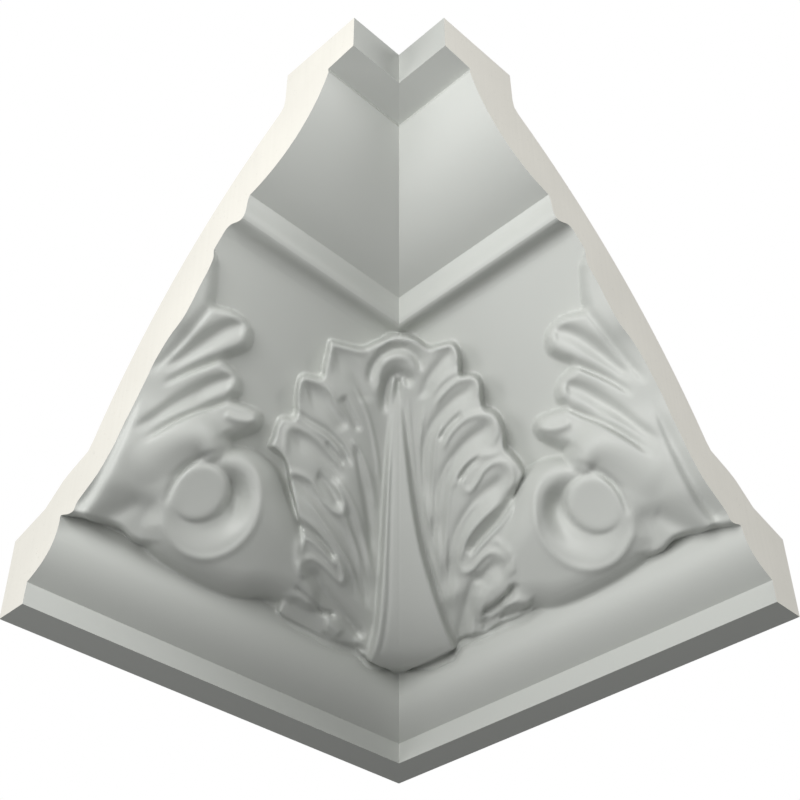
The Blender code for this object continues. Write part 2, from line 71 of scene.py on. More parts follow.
# Driving sizes of the moulding. In its section p runs out from the wall and z up from its lower edge. On
# its sloping face u = (p + z) / ROOT2 runs up and n = (p - z) / ROOT2 stands out.
LENGTH = 147.0            # each leg, from the corner line of the walls to the square cut
PROJECTION = 130.0        # out along the ceiling
DROP = 130.3              # down the wall
FIELD = -2.05             # n of the plain face between the lower roll and the bead
CEILING_INNER = 103.2     # p of the back edge of the flat that touches the ceiling
WALL_FLAT = 24.0          # height of the flat that touches the wall
BACK_CENTRE = (206.0, -51.0)      # p and z of the middle of the rounded back
BACK_RADIUS = 196.8
UPPER_CENTRE = (83.0, 130.3)      # p and z of the middle of the big quarter round
UPPER_RADIUS = 40.2

# The carving
FOOT = FIELD - 1.5        # where the carving's skirts meet the ground, a little below the field
LEAF_FOOT = FIELD - 5.0   # the leaf's go deeper, so that its rim stands steeper
CORNER_ROUND = 6.0        # radius at which the leaf bridges the mitre
CORNER_SINK = 0.5         # and how far it is pressed back into it
RIB_ROUND = 30.0          # radius at which the rib bends back over the two legs
SIDE_FACE = 4.0           # mean height of the scrolls, on which their run along the leg is measured
LEFT_LATE = 3.2           # the left scroll sits this much further from the corner
LEFT_HIGH = 2.4           # and this much higher than the right one
LATE_LOST, HIGH_LOST = 0.65, 0.55     # shares of those shifts that are gone at the top of the stem
SHIFT_FADE = (55, 95)     # u between which they go
OFF_THE_LEG = -1000.0     # a run that no tool reaches
FAR = 1e9                 # farther than any tool reaches
NO_WEIGHT = 1e-12         # keeps the mean of no tops from dividing by nothing
GOUGE_REACH = 2.6         # half widths out to which a groove is worked
RUN_OUT = (-0.02, 0.14)   # shares of its length over which a groove's ends come up
DISH_WALL = (-0.5, 9.0)   # way in from its rim over which a dish deepens
BOSS_SUNK = 0.6           # how much lower the middle of a boss is than its rim

# The mesh
COLUMNS = 165             # on each leg
ROW_STEP = 0.5            # of u, in the carved zone
CARVED_FROM, CARVED_TO = 26.0, 122.0      # u where that zone starts and ends
FINER = 3                 # the carving is worked this many times finer and averaged
END_PASSES = 30           # to settle where the face meets the square cut
PLAIN_UNDER = 0.05        # carving lower than this leaves the section's arrises crisp
ARRIS = math.radians(22)  # the section's faces meet in a crisp line past this angle
PRIMED, BARE = 0, 1       # material slots

# The finishes, in metres
PRIMER_CLOUD = 0.035      # width of the primer's soft patches
FOAM_CLOUD = 0.02         # and of the foam's
SAW_LINE = 0.0011         # distance between the saw's lines
SAW_STRETCH = (1, 1, 0.04)        # which are long up and down
PORE_DEPTH = 0.0002

# The stage, in metres. A light's direction from the middle of the part is in degrees round to the right
# of its front and degrees above level.
SENSOR = 36.0             # millimetres
CLIP_NEAR, CLIP_FAR = 0.01, 20.0
FLOOR_HALF = 4.0
PALE, WHITE = (0.8, 0.8, 0.8, 1.0), (1.0, 1.0, 1.0, 1.0)
KEY_DIRECTION, KEY_DISTANCE = (-17, -10), 0.42
LEFT_DIRECTION, RIGHT_DIRECTION, FILL_DISTANCE = (-70, -9), (70, 10), 1.6
BACK_DIRECTION, BACK_DISTANCE = (180, 52), 4.0


def bezier(points, steps=20):
    """Points on the curve that the control points pull; extra columns follow along."""
    p = np.repeat(np.asarray(points, float)[None], steps + 1, axis=0)
    t = np.linspace(0, 1, steps + 1)[:, None, None]
    while p.shape[1] > 1:
        p = p[:, :-1] * (1 - t) + p[:, 1:] * t
    return p[:, 0]


def arc(centre, radius, first, last, steps):
    """Points on a circle, from the direction of the first place to that of the last."""
    start, end = (math.atan2(place[1] - centre[1], place[0] - centre[0]) for place in (first, last))
    angles = np.linspace(start, end, steps + 1)
    return np.column_stack([centre[0] + radius * np.cos(angles), centre[1] + radius * np.sin(angles)])


def spline(t, a, b, c, d):
    """Points between b and c of the smooth curve through a, b, c and d."""
    bend, twist = 2 * a - 5 * b + 4 * c - d, 3 * b - a - 3 * c + d
    return 0.5 * (2 * b + (c - a) * t + bend * t ** 2 + twist * t ** 3)


def closed_curve(points, per_span=8):
    """A smooth closed outline through the points."""
    p = np.asarray(points, float)
    p = np.vstack([p[-1], p, p[0], p[1]])
    t = (np.arange(per_span) / per_span)[:, None]
    return np.vstack([spline(t, *four) for four in zip(p, p[1:], p[2:], p[3:])])


def open_curve(points, per_span=5):
    """A smooth line through the points."""
    p = np.asarray(points, float)
    p = np.vstack([2 * p[0] - p[1], p, 2 * p[-1] - p[-2]])
    t = (np.arange(per_span) / per_span)[:, None]
    return np.vstack([spline(t, *four) for four in zip(p, p[1:], p[2:], p[3:])] + [p[-2:-1]])


def smooth_max(a, b, width):
    """The greater of two heights, with a small fillet where they are alike."""
    near = np.clip(width - np.abs(a - b), 0.0, None) / width
    return np.maximum(a, b) + near * near * width / 4


def smooth_step(x, low, high):
    """0 below low, 1 above high, and smooth between."""
    t = np.clip((x - low) / (high - low), 0.0, 1.0)
    return t * t * (3 - 2 * t)


def face_profile():
    """The room side of the section in p and z, from the wall's lower edge to the ceiling's outer edge."""
    roll_low, roll_high = (10.85, 6.45), (21.85, 19.3)
    field_low, field_high = (21.85, 24.75), (80.1, 83.0)
    bead_low, bead_high = (84.2, 84.8), (89.6, 85.2)
    round_low, round_high = (91.0, 90.9), (120.3, 115.9)
    runs = [[(0, 0), (10.75, 0)],
            bezier([roll_low, (17.2, 9.2), (21.3, 12.6), roll_high], 14),
            [field_low],
            bezier([field_high, (81.5, 84.5), (82.5, 85.3), bead_low], 6),
            bezier([bead_low, (86.0, 84.2), (88.6, 82.2), bead_high], 8)[1:],
            bezier([bead_high, (90.2, 87.2), (89.9, 89.4), round_low], 5)[1:-1],
            arc(UPPER_CENTRE, UPPER_RADIUS, round_low, round_high, 20),
            [(120.2, 117.3), (129.95, 118.1), (PROJECTION, DROP)]]
    return np.vstack([np.asarray(run, float) for run in runs])


def back_profile():
    """The hidden side of the section, from the ceiling's back edge down to the wall's flat."""
    round_high, round_low = (100.7, 115.3), (32.0, 40.5)
    runs = [[(CEILING_INNER, DROP), (103.0, 119.6), (102.5, 117.0)],
            arc(BACK_CENTRE, BACK_RADIUS, round_high, round_low, 32),
            [(30.1, 38.2), (22.8, 35.3), (20.0, 33.9), (13.0, 28.1), (0.8, WALL_FLAT + 0.2), (0, WALL_FLAT)]]
    return np.vstack([np.asarray(run, float) for run in runs])


def to_face(p, z):
    """u and n of the places p and z."""
    return (p + z) / ROOT2, (p - z) / ROOT2


class Carving:
    """Heights n over the face, worked with a few tools. Places are (x, u) in millimetres."""

    def __init__(self, x, u, ground):
        self.corner_x, self.face_u = x, u
        self.n = ground.copy()

    def on_leaf(self, side):
        """Draw on the corner, with x across it, or on its mirror image with side -1."""
        self.x, self.u = self.corner_x * side, self.face_u

    def on_mitre(self):
        """Draw lines that run straight across the mitre, with u as it is on the mitre."""
        self.x, self.u = self.corner_x, self.face_u + np.abs(self.corner_x) / 2

    def on_leg(self, side, late=0.0, high=0.0):
        """Draw on one leg, with x as the run from the corner line of the walls. A shift later along the
        leg and higher up it fades towards the top, where both sides are more alike."""
        run = ROOT2 * self.corner_x * side + (self.face_u + SIDE_FACE) / ROOT2
        fade = smooth_step(self.face_u, *SHIFT_FADE)
        self.x = np.where(self.corner_x * side > 0, run - late * (1 - LATE_LOST * fade), OFF_THE_LEG)
        self.u = self.face_u - high * (1 - HIGH_LOST * fade)

    def window(self, points, margin):
        """Which places lie in a box round the points."""
        low, high = points[:, :2].min(axis=0) - margin, points[:, :2].max(axis=0) + margin
        return (self.x > low[0]) & (self.x < high[0]) & (self.u > low[1]) & (self.u < high[1])

    def stroke(self, path, reach):
        """Where a stroke acts: side and distance in half widths, the share of its length, its height."""
        here = self.window(path, reach * path[:, 2].max() + 0.5)
        x, u = self.x[here], self.u[here]
        nearest, side, share = np.full(x.shape, FAR), np.ones(x.shape), np.zeros(x.shape)
        width, height = np.ones(x.shape), np.zeros(x.shape)
        for step, (a, b) in enumerate(zip(path, path[1:])):
            ex, eu = b[:2] - a[:2]
            t = np.clip(((x - a[0]) * ex + (u - a[1]) * eu) / (ex * ex + eu * eu), 0, 1)
            dx, du = x - a[0] - t * ex, u - a[1] - t * eu
            distance = np.hypot(dx, du)
            closer = distance < nearest
            nearest = np.where(closer, distance, nearest)
            side = np.where(closer, np.where(ex * du >= eu * dx, 1.0, -1.0), side)
            share = np.where(closer, (step + t) / (len(path) - 1), share)
            width = np.where(closer, a[2] + t * (b[2] - a[2]), width)
            height = np.where(closer, a[3] + t * (b[3] - a[3]), height)
        return here, side * nearest / width, share, height

    def plate(self, outline, edge, tops, spread, blend, foot=FOOT, power=2.0):
        """A raised mass inside a closed outline, with a round edge and given heights here and there."""
        outline = closed_curve(outline)
        here = self.window(outline, 0.0)
        x, u = self.x[here], self.u[here]
        depth, within = np.full(x.shape, FAR), np.zeros(x.shape, bool)
        for a, b in zip(outline, np.roll(outline, -1, axis=0)):
            ex, eu = b - a
            t = np.clip(((x - a[0]) * ex + (u - a[1]) * eu) / (ex * ex + eu * eu), 0, 1)
            depth = np.minimum(depth, np.hypot(x - a[0] - t * ex, u - a[1] - t * eu))
            if eu:
                within ^= ((a[1] > u) != (b[1] > u)) & (x < (u - a[1]) * ex / eu + a[0])
        total, weight = np.zeros(x.shape), np.full(x.shape, NO_WEIGHT)
        for top_x, top_u, top in tops:
            share = np.exp(-((x - top_x) ** 2 + (u - top_u) ** 2) / (2 * spread ** 2))
            total, weight = total + share * top, weight + share
        rise = (1 - (1 - np.clip(depth / edge, 0, 1)) ** power) ** (1 / power)
        body = foot + (total / weight - foot) * rise
        self.n[here] = np.where(within, smooth_max(self.n[here], body, blend), self.n[here])

    def swell(self, points, edge, blend):
        """A rounded mass along a stroke of x, u, half width and top."""
        here, q, _, top = self.stroke(bezier(points), 1)
        body = FOOT + (top - FOOT) * np.sqrt(np.clip(1 - np.abs(q) ** edge, 0, 1))
        self.n[here] = np.where(np.abs(q) < 1, smooth_max(self.n[here], body, blend), self.n[here])

    def gouge(self, path, left, right):
        """A groove along a path of x, u, half width and depth, wider to one side if asked."""
        here, q, share, depth = self.stroke(path, GOUGE_REACH * max(left, right))
        q = np.abs(np.where(q > 0, q / left, q / right))
        ends = smooth_step(share, *RUN_OUT) * smooth_step(1 - share, *RUN_OUT)
        self.n[here] -= depth * ends * np.exp(-q ** 2.0)

    def cut(self, points, left=1.0, right=1.0):
        """A groove pulled by points of x, u, half width and depth."""
        self.gouge(bezier(points), left, right)

    def rise(self, points):
        """A soft ridge, the reverse of a cut."""
        self.cut([(x, u, half, -height) for x, u, half, height in points])

    def line(self, depth, half, places, left=1, right=1):
        """A groove, or with a depth below zero a ridge, through places of x and u."""
        path = open_curve(places)
        shape = np.full((len(path), 2), (half, depth))
        self.gouge(np.hstack([path, shape]), left, right)

    def rib(self, left, right, heights, round_over, edge):
        """A rib with a front that runs straight across the mitre, between two edges of x at each u."""
        path_left, path_right = open_curve(left)[::-1], open_curve(right)[::-1]
        low = np.interp(self.u, path_left[:, 1], path_left[:, 0])
        high = np.interp(self.u, path_right[:, 1], path_right[:, 0])
        u_marks, n_marks = open_curve(heights[::-1]).T
        drop = (round_over + np.abs(self.x) - np.sqrt(self.x ** 2 + round_over ** 2)) / 2
        front = np.interp(self.u + drop, u_marks, n_marks) - drop
        inside = np.minimum(self.x - low, high - self.x)
        share = smooth_step(inside, -edge, edge)
        within = (self.u > u_marks[0]) & (self.u < u_marks[-1])
        self.n = np.where(within, self.n + (front - self.n) * share, self.n)

    def hollow(self, centre, radius, deep, spread, shallow, depth):
        """A round dish, deepest near one place."""
        inward = radius - np.hypot(self.x - centre[0], self.u - centre[1])
        share = np.exp(-((self.x - deep[0]) ** 2 + (self.u - deep[1]) ** 2) / spread ** 2)
        self.n -= (shallow + (depth - shallow) * share) * smooth_step(inward, *DISH_WALL)

    def boss(self, centre, radius, low, high, blend):
        """A round boss with an upright side and a slightly sunk top."""
        q = np.hypot(self.x - centre[0], self.u - centre[1]) / radius
        side = np.sqrt(np.clip(1 - q ** 9, 0, 1))
        body = low + (high - low - BOSS_SUNK + BOSS_SUNK * q ** 3) * side
        self.n = np.where(q < 1, smooth_max(self.n, body, blend), self.n)


# Outlines as (x, u), tops as (x, u, n). On a leg x is the run from the corner line of the walls, and on
# the leaf it runs across the corner.
STEM = [(112, 36), (120, 31), (125, 30.4), (130, 31.8), (135, 31), (140, 30.4), (158, 29), (166, 60),
        (160, 112), (149, 109.5), (146, 106), (143.2, 101), (141.6, 98), (136.5, 99.2), (131.5, 99),
        (127.8, 97), (126.2, 93.6), (127.4, 90.2), (130, 86.6), (126, 85.3), (122.6, 83.6), (120.9, 80.6),
        (121.4, 78), (116, 78.8), (112, 78.6), (110, 76), (110.8, 72.5), (113.4, 68.5), (116, 65.2),
        (112, 58), (110, 48)]
STEM_TOPS = [(125, 34, 4.5), (125, 50, 7.5), (122, 62, 7.5), (130, 36, 4.6), (132, 50, 7.6), (132, 60, 6.4),
             (138, 35, 7.5), (140, 42, 10.4), (140, 50, 9.4), (140, 60, 6.4), (147, 38, 6.5),
             (147, 50, 6.8), (147, 60, 5), (141, 70, 3.6), (147, 70, 2.4), (147, 80, 1.3), (140, 82, 2.2),
             (147, 93, 3.6), (143, 100, 2), (147, 104, 1.5), (132, 93, 2.6), (126, 79, 2.8), (115, 74, 3.4)]
SCROLL = [(60, 46), (70, 52), (80, 57), (90, 62), (97, 66.4), (104, 68), (111, 67.2), (116.6, 63.8),
          (121.4, 58), (125, 50), (127, 42), (126, 34), (119, 29.5), (110, 27.8), (100, 27.2), (92, 27.4),
          (86, 28.6), (80, 31.5), (72, 33), (60, 34)]
SCROLL_TOPS = [(75, 45, 6), (88, 47, 9.8), (90, 34, 6.5), (105, 50, 11), (105, 38, 9.5), (105, 30, 6),
               (118, 34, 6), (118, 55, 9.5), (108, 64, 8.6)]
LEAF_RIGHT = [(0, 120.4), (3, 118.8), (6, 116.2), (9, 112.9), (12.5, 111.6), (15.6, 110.2), (17.6, 107.4),
              (18.5, 104), (18.6, 101), (20.6, 100), (23, 98), (24.3, 95), (24.6, 91), (25.4, 89.2),
              (27.6, 87.2), (29.6, 84), (30.8, 80), (31, 76.8), (32.6, 74.5), (34.8, 71), (36.3, 67),
              (34.4, 63.6), (33.6, 58), (33.2, 52), (32.9, 46), (33.8, 41.5), (36.6, 37.4), (41.5, 32.6),
              (38, 29.8), (30, 30.5), (25, 30), (19.5, 31.4), (16.5, 29.8), (13, 28.6), (8, 29.4), (4, 31),
              (0, 32.6)]
LEAF_LEFT = [(-4, 31.1), (-9, 30.5), (-11.5, 30.4), (-13.8, 31), (-18.5, 30.1), (-21.8, 29.7), (-25.6, 30),
             (-30.2, 30.2), (-34.8, 30.9), (-36.6, 33), (-35, 37.5), (-32, 41.2), (-30, 43.4), (-30.4, 47),
             (-30, 51), (-29.4, 56), (-30.4, 60), (-32, 66), (-33.5, 71.3), (-37.6, 72.4), (-36.4, 76.5),
             (-35.2, 80.6), (-33.4, 83), (-30.4, 84.8), (-30.2, 89), (-29.2, 94), (-27, 96.6), (-23, 98.2),
             (-22.4, 100.5), (-21.4, 104.5), (-20.2, 108.2), (-15.5, 110), (-12, 111.2), (-9.4, 112.9),
             (-6, 116), (-3, 118.8)]
LEAF_TOPS = [(0, 114, 5.4), (6, 108, 4.4), (11, 104, 4.4), (15.5, 106, 3.8), (11, 96, 4.6), (4, 97, 3.6),
             (5, 86, 3.8), (7, 74, 4.2), (9.5, 62, 4.6), (12.5, 50, 4.4), (16, 39, 2.4), (21, 95, 4.2),
             (13, 85, 5.8), (18, 87, 5.2), (26, 82, 4.6), (14, 72, 6.4), (22, 74, 5.8), (30.5, 69, 5.2),
             (17, 60, 6.8), (24, 64, 6.8), (33, 65, 5), (28, 57, 5.6), (31.5, 52, 6.6), (25, 50, 6.2),
             (27, 43, 5), (17, 48, 5.8), (17, 40, 3.8), (22.5, 36, 2.4), (27, 33, 0.8), (34, 36, 3.4),
             (38, 32, 1.4), (30, 46, 6.2), (16, 33, 0.6), (-16, 104, 2.6), (-10, 104, 3.6), (-12, 96, 4.6),
             (-5, 97, 3.6), (-5.5, 86, 3.8), (-6.5, 74, 4.2), (-7.5, 62, 4.4), (-8.5, 50, 4.2),
             (-10, 40, 2.4), (-25, 92, 2.5), (-16, 90, 4.2), (-12, 82, 5.6), (-20, 82, 3.9), (-31, 79, 2.5),
             (-14, 70, 6.4), (-23, 72, 4.4), (-30, 70, 3.6), (-12, 58, 6.8), (-20, 62, 6.4), (-27, 63, 6),
             (-17, 53, 6.4), (-25, 55, 6), (-28, 48, 6.6), (-22, 46, 4.8), (-12, 46, 5), (-16, 43, 3.8),
             (-18, 37, 3.2), (-12, 37, 2.6), (-15, 32, 0.2), (-31, 37, 2.8), (-26, 35, 1.4), (-27, 31, 0)]

# Lines of the gouge: depth, half width, places of x and u that it passes through and, where they differ,
# how much wider it is to the left and right of its travel. A depth below zero leaves a ridge. The left
# half's lines are drawn on its mirror image, and the lines at the top run straight across the mitre.
HOLLOWS_RIGHT = [
    (1.2, 1.9, [(15.6, 106.6), (13, 106.4), (10.4, 105.2), (8.2, 103.4), (7.4, 99.6)], 1.1, 1),
    (1.3, 1.8, [(22, 94.2), (19, 95), (15.8, 95), (12.6, 94), (9.8, 92.2), (8.2, 89), (7.7, 85), (8.2, 79),
                (9.4, 72)], 1.3, 1),
    (1.5, 2, [(26.4, 82), (23.4, 83.2), (19.6, 83), (16.2, 81.2), (13.4, 78.2), (11.6, 74), (11.3, 68),
              (11.7, 60)], 1.3, 1),
    (1.6, 2.2, [(30.6, 67.6), (27.6, 68.2), (23.6, 67.6), (20, 65.4), (17.2, 62), (15.8, 58), (15.2, 52),
                (15.4, 46)], 1.3, 1),
    (1.6, 2.2, [(31.2, 46), (28.4, 47.6), (25.4, 47.4), (23.2, 45)], 1.2, 0.9),
]
CRESTS_RIGHT = [
    (-0.6, 0.8, [(8.6, 110.4), (12.4, 109.6), (15, 108.4), (16.4, 106.2), (16.3, 103.4)]),
    (-0.7, 0.8, [(10, 96.2), (12, 97.8), (15, 98.9), (18, 98.7), (20.6, 97.3), (22, 95), (22.1, 91.6)]),
    (-0.5, 0.9, [(9.4, 99.4), (11.2, 101), (14.4, 101.6), (17.4, 100.8)]),
    (-0.8, 0.9, [(13.6, 83.8), (13.2, 85.6), (14.8, 87.4), (17.8, 88.6), (21, 88.3), (24, 86.6),
                 (26.6, 83.6), (27.2, 80.4), (26, 78)]),
    (-0.8, 0.8, [(20.2, 70.6), (22.2, 71.8), (23.6, 73.4), (26.4, 74), (29.2, 72.6), (31.3, 69.8),
                 (31.7, 66.6), (30.6, 64.4)]),
    (-0.6, 0.8, [(22, 71.2), (20.2, 70.4), (18.6, 71.6), (18, 73.6), (18.6, 75)]),
    (-0.6, 0.9, [(15.6, 73), (16.4, 75.6), (18.4, 77.6), (21.6, 77.9), (25, 76.8), (28, 75)]),
    (-0.9, 0.9, [(29.6, 63.6), (26.4, 62.8), (22.6, 61.4), (19.6, 59.2), (18, 56), (17.6, 52.8),
                 (18.8, 50.8), (21, 50.4), (23, 51.6), (25.4, 52.4), (27.8, 51.2), (29.6, 48.8),
                 (30.8, 45.6), (31.2, 43)]),
    (-0.5, 0.7, [(24, 67), (20.4, 65.4), (17.8, 62.6), (16.4, 58.8), (16, 53.4), (16.2, 47.6), (17, 42)]),
    (-0.6, 0.7, [(20.8, 53.2), (22.6, 54.8), (25.4, 56.2), (28.6, 58), (31.4, 60.6), (34, 63.6)]),
    (-0.6, 0.8, [(26.4, 55.4), (28.6, 53.2), (30.8, 50), (32, 46.4), (32.2, 43.4)]),
    (-0.8, 1, [(22.8, 44.6), (22.2, 40), (21.8, 35.6), (22, 31.8)]),
    (-2.2, 1.6, [(29.4, 37), (32.4, 36.6), (35, 35.2), (37, 33.4)]),
    (-0.6, 0.7, [(2.4, 104), (2.9, 97), (3.9, 87), (5.2, 77), (7, 67), (9.6, 58), (12.2, 50.5),
                 (14.4, 44)]),
    (-0.45, 0.6, [(7.6, 98.6), (6.4, 93), (6, 86), (6.6, 78), (8, 71), (9.4, 64.4), (11, 57)]),
    (-0.5, 0.6, [(10.2, 91.6), (8.6, 88), (7.9, 82), (8, 76), (8.7, 70), (9.8, 63)]),
    (-0.6, 0.6, [(12.6, 90.6), (10.9, 88.8), (10.1, 84.6), (9.7, 79), (9.6, 73), (10.1, 67)]),
    (-0.6, 0.7, [(16, 81.4), (13.6, 78.6), (12.1, 75), (11.4, 70), (11.3, 64), (12, 57), (12.8, 51)]),
    (-0.6, 0.7, [(16.8, 78.2), (15, 75.4), (14.1, 71), (13.7, 66), (13.5, 60), (13.9, 53), (14.6, 47)]),
]
FOLDS_RIGHT = [
    (1.2, 0.9, [(18, 90.4), (15.4, 89.9), (13.2, 88.8), (12, 87)], 1, 1.1),
    (1.3, 0.9, [(23, 77.2), (20.6, 77), (18.6, 76), (17.2, 74.2)], 1, 1.1),
    (2.3, 1.3, [(34.2, 65), (31.4, 61.4), (28.6, 59), (25.6, 57.6), (22.6, 56), (20.4, 54)], 0.5, 2),
    (1.4, 2, [(23.4, 49), (21.6, 46.4), (20.4, 42.4), (19.2, 38), (18.4, 34), (17.8, 31)], 1.1, 1),
    (3, 1.1, [(24, 38), (26.4, 37.4), (29, 38), (31.6, 39.2), (33, 41.4)], 1, 1.2),
    (1.8, 1, [(29.4, 34), (32, 33.2), (35, 32.8), (38.6, 31.6)]),
    (1, 0.9, [(25, 36), (25.6, 34), (25.4, 31.8)]),
]
HOLLOWS_LEFT = [
    (0.8, 2.3, [(18.4, 103.9), (15.6, 104.4), (12.9, 103.4), (11.1, 100.2), (9.6, 97.4)]),
    (1.2, 2.3, [(26.1, 91.5), (23.6, 92.2), (20.4, 91.8), (17.6, 90), (15.4, 87.5)]),
    (0.9, 2.1, [(30.1, 78.2), (26.5, 79.4), (22.9, 78.4), (19.6, 76.4), (16.9, 73.6)]),
    (1.2, 1.9, [(31, 66.8), (27.6, 68), (24.4, 66.8), (21, 64.8), (17.6, 63), (15.2, 60), (13.4, 56),
                (12.4, 51), (12.4, 46)], 1.3, 1),
    (2.1, 2.3, [(26.1, 48.8), (24.1, 46.5), (22.1, 44.2), (19.4, 41.9), (16.1, 39.8), (13.1, 37.8),
                (11.1, 36.2)]),
]
CRESTS_LEFT = [
    (-0.6, 0.8, [(8.8, 110), (12.4, 108.6), (15.6, 107.6), (18.4, 106.2), (19.2, 103.4), (19.4, 99.4)]),
    (-0.7, 0.8, [(27.7, 88), (27.8, 91.4), (26.8, 93.8), (24.2, 95), (21, 95.4), (18.8, 94.4), (17.4, 92.2),
                 (15.4, 90.4)]),
    (-0.7, 0.9, [(29.6, 84.4), (26, 83.8), (22, 83.6), (18.6, 82.6), (15.8, 80.6)]),
    (-0.7, 0.9, [(31.8, 73), (31.8, 76.4), (31.2, 79.6), (29, 81.4), (25, 81.8), (21.4, 80.8), (18.4, 79.2),
                 (15.6, 77.6)]),
    (-0.5, 0.7, [(23, 77.8), (19.6, 76.2), (16.6, 74.2), (14.2, 71.8), (12, 68.4), (10.4, 64), (9, 59.4),
                 (8, 55)]),
    (-0.8, 0.8, [(20, 73.8), (17.6, 72.4), (16, 70.4), (16, 67.4), (18.4, 66.2), (21.2, 67), (23.2, 69),
                 (25, 70.6), (28, 70.6), (31, 69.2), (32.6, 66)]),
    (-0.5, 0.7, [(17.4, 66.4), (15, 64.6), (13, 61.4), (11.4, 57.6), (10.2, 53), (9.6, 47.6)]),
    (-0.7, 0.7, [(27.4, 65.6), (24, 63.8), (21, 61.4), (18.4, 59), (16.2, 57), (14.2, 54.6), (12.8, 51),
                 (12, 47)]),
    (-0.8, 0.8, [(29.2, 60.6), (26.2, 60.2), (23.4, 59.2), (20.8, 57.4), (18.6, 55.6), (16.9, 53.4),
                 (16.2, 50.8), (17.2, 49), (19.4, 49.8), (22, 51), (24.8, 51.4), (27, 50), (28.4, 47.4),
                 (28.6, 44)]),
    (-0.7, 0.7, [(28.2, 55.4), (25, 55.6), (22.2, 54.6), (19.8, 53.4), (18, 52.2)]),
    (-0.5, 0.7, [(13.4, 101), (9.6, 96), (7.6, 91), (6.3, 85), (5.8, 80)]),
    (-0.6, 0.8, [(14, 86.6), (11.4, 84.8), (9.2, 81.6), (7.7, 77.4), (7, 72)]),
    (-0.62, 1.05, [(33, 36.6), (31.4, 38.6), (29.6, 39.6), (27.6, 39.5), (25.6, 38.8)]),
    (-1.1, 1.2, [(27.4, 55.6), (28.4, 52.5), (28.6, 49.9), (28.4, 47.5), (27.1, 44.9)]),
    (-0.6, 1, [(18.8, 39.4), (16.1, 38), (13.6, 36.1), (11.9, 35.1)]),
]
FOLDS_LEFT = [
    (1.2, 1.2, [(16.4, 95.4), (14.9, 93.9), (13.3, 91.8), (11.8, 89.2)], 1, 1.2),
    (1.2, 1, [(29.4, 85.4), (25, 84.9), (20.8, 85), (17.8, 84), (15.6, 82.4), (13.6, 79.6)], 1.1, 1),
    (1, 1, [(12.6, 86), (12, 82.6), (11, 78), (9.8, 73), (8.8, 67), (8, 60)], 0.8, 1.4),
    (0.7, 0.8, [(21, 82), (18.4, 80.6), (15.8, 79)], 1, 1.1),
    (1.3, 1.3, [(23.6, 72.8), (21.4, 72.2), (19.2, 70.6), (17.2, 67.8)], 1, 1.1),
    (0.8, 0.9, [(15.2, 69.6), (14, 65.6), (12.2, 61.4), (10.9, 57), (10.2, 51), (10.2, 45)], 0.8, 1.4),
    (1.5, 1, [(29.4, 58), (26.8, 57.8), (23.4, 57.2), (20.6, 55.8), (18.6, 54)], 1, 1.4),
    (0.9, 0.7, [(30.1, 42), (27.4, 40.9), (25.2, 39.9), (23.1, 38.2)]),
    (2, 0.7, [(23.9, 38), (21.6, 38.8), (19.1, 39.4)]),
    (-1.1, 1.9, [(22, 36.1), (19.4, 35.9), (17.6, 34.6)]),
    (1.2, 0.8, [(23.1, 33.1), (20.6, 32.1), (17.9, 32), (14.1, 32.9), (9.6, 34.1)]),
]
TOP_LINES = [
    (1.3, 1, [(-8.6, 106.6), (-8, 110.4), (-6.2, 113), (-3.2, 115), (0, 115.7), (3, 115), (5.6, 112.9),
              (7, 109.8)]),
    (2.2, 1.2, [(-4.4, 99.6), (-4.2, 104), (-3.3, 107.4), (-1.8, 109.2), (0, 109.6), (2.2, 108.6),
                (4.4, 107)]),
    (-0.6, 0.9, [(-8.4, 114.6), (-5.5, 116), (-3, 117.2), (0, 117.7), (3, 117.4), (6, 116.2), (9, 114.2)]),
    (-0.9, 1.2, [(-7.6, 105), (-5.9, 106.4), (-5.7, 109), (-4.6, 111.4), (-2.4, 112.9), (0, 113.4),
                 (2.2, 112.9), (4, 111), (5.6, 108.4)]),
]
RIB_LEFT = [(-0.9, 110), (-1.2, 106), (-2.4, 99), (-3.1, 92), (-3.7, 84), (-4.2, 76), (-4.8, 66),
            (-5.5, 56), (-6, 50), (-6.6, 44), (-7.5, 39), (-8.8, 34), (-9.6, 31), (-10, 28)]
RIB_RIGHT = [(0.5, 110), (0.7, 106), (1.2, 99), (2, 92), (3.1, 83), (4.6, 73), (6.4, 64), (8.8, 55),
             (11.6, 46), (14.6, 37.5), (17.2, 31), (18, 28)]
RIB_HEIGHT = [(108.4, 4.4), (105, 5.4), (100, 6.8), (90, 9.2), (80, 11.3), (70, 13.1), (60, 14.2),
              (52, 14.4), (46, 13.8), (41, 12.5), (37.6, 10.8), (35.2, 8.4), (33.6, 5.6), (32.4, 2),
              (31.4, -3)]
RIB_LINES = [
    (0.35, 0.5, [(-1.7, 92), (-2.1, 84), (-2.4, 76), (-2.7, 66), (-2.9, 58), (-3.1, 52), (-3.7, 46),
                 (-4.8, 39), (-6.2, 34)]),
    (-0.3, 0.8, [(-2.7, 90), (-3.3, 80), (-3.8, 68), (-4.3, 57), (-4.9, 48), (-6.2, 39), (-7.6, 33)]),
]

# The fine line under the leaf, where it meets the lower roll, and the soft ring round the scroll's dish.
SEAM = (0.9, 0.5, [(-37.5, 31.6), (-34.8, 30.7), (-30.2, 30), (-25.6, 29.8), (-21.8, 29.5), (-18.5, 29.9),
                   (-13.8, 30.6), (-9, 29), (-4, 31), (0, 33), (4, 31), (9, 28.7), (13, 27.8), (16.5, 28),
                   (19.5, 30.6), (25, 29.8), (30, 30.3), (38, 29.6), (41.5, 32.2)])
SCROLL_RING = (-0.5, 1.1, [(114.5, 63.6), (108, 65.2), (100, 62.2), (94.8, 55.5), (93.2, 48), (96, 40.4),
                           (102.4, 35.4), (110.4, 34.8), (117.4, 38.4), (121.4, 43)])

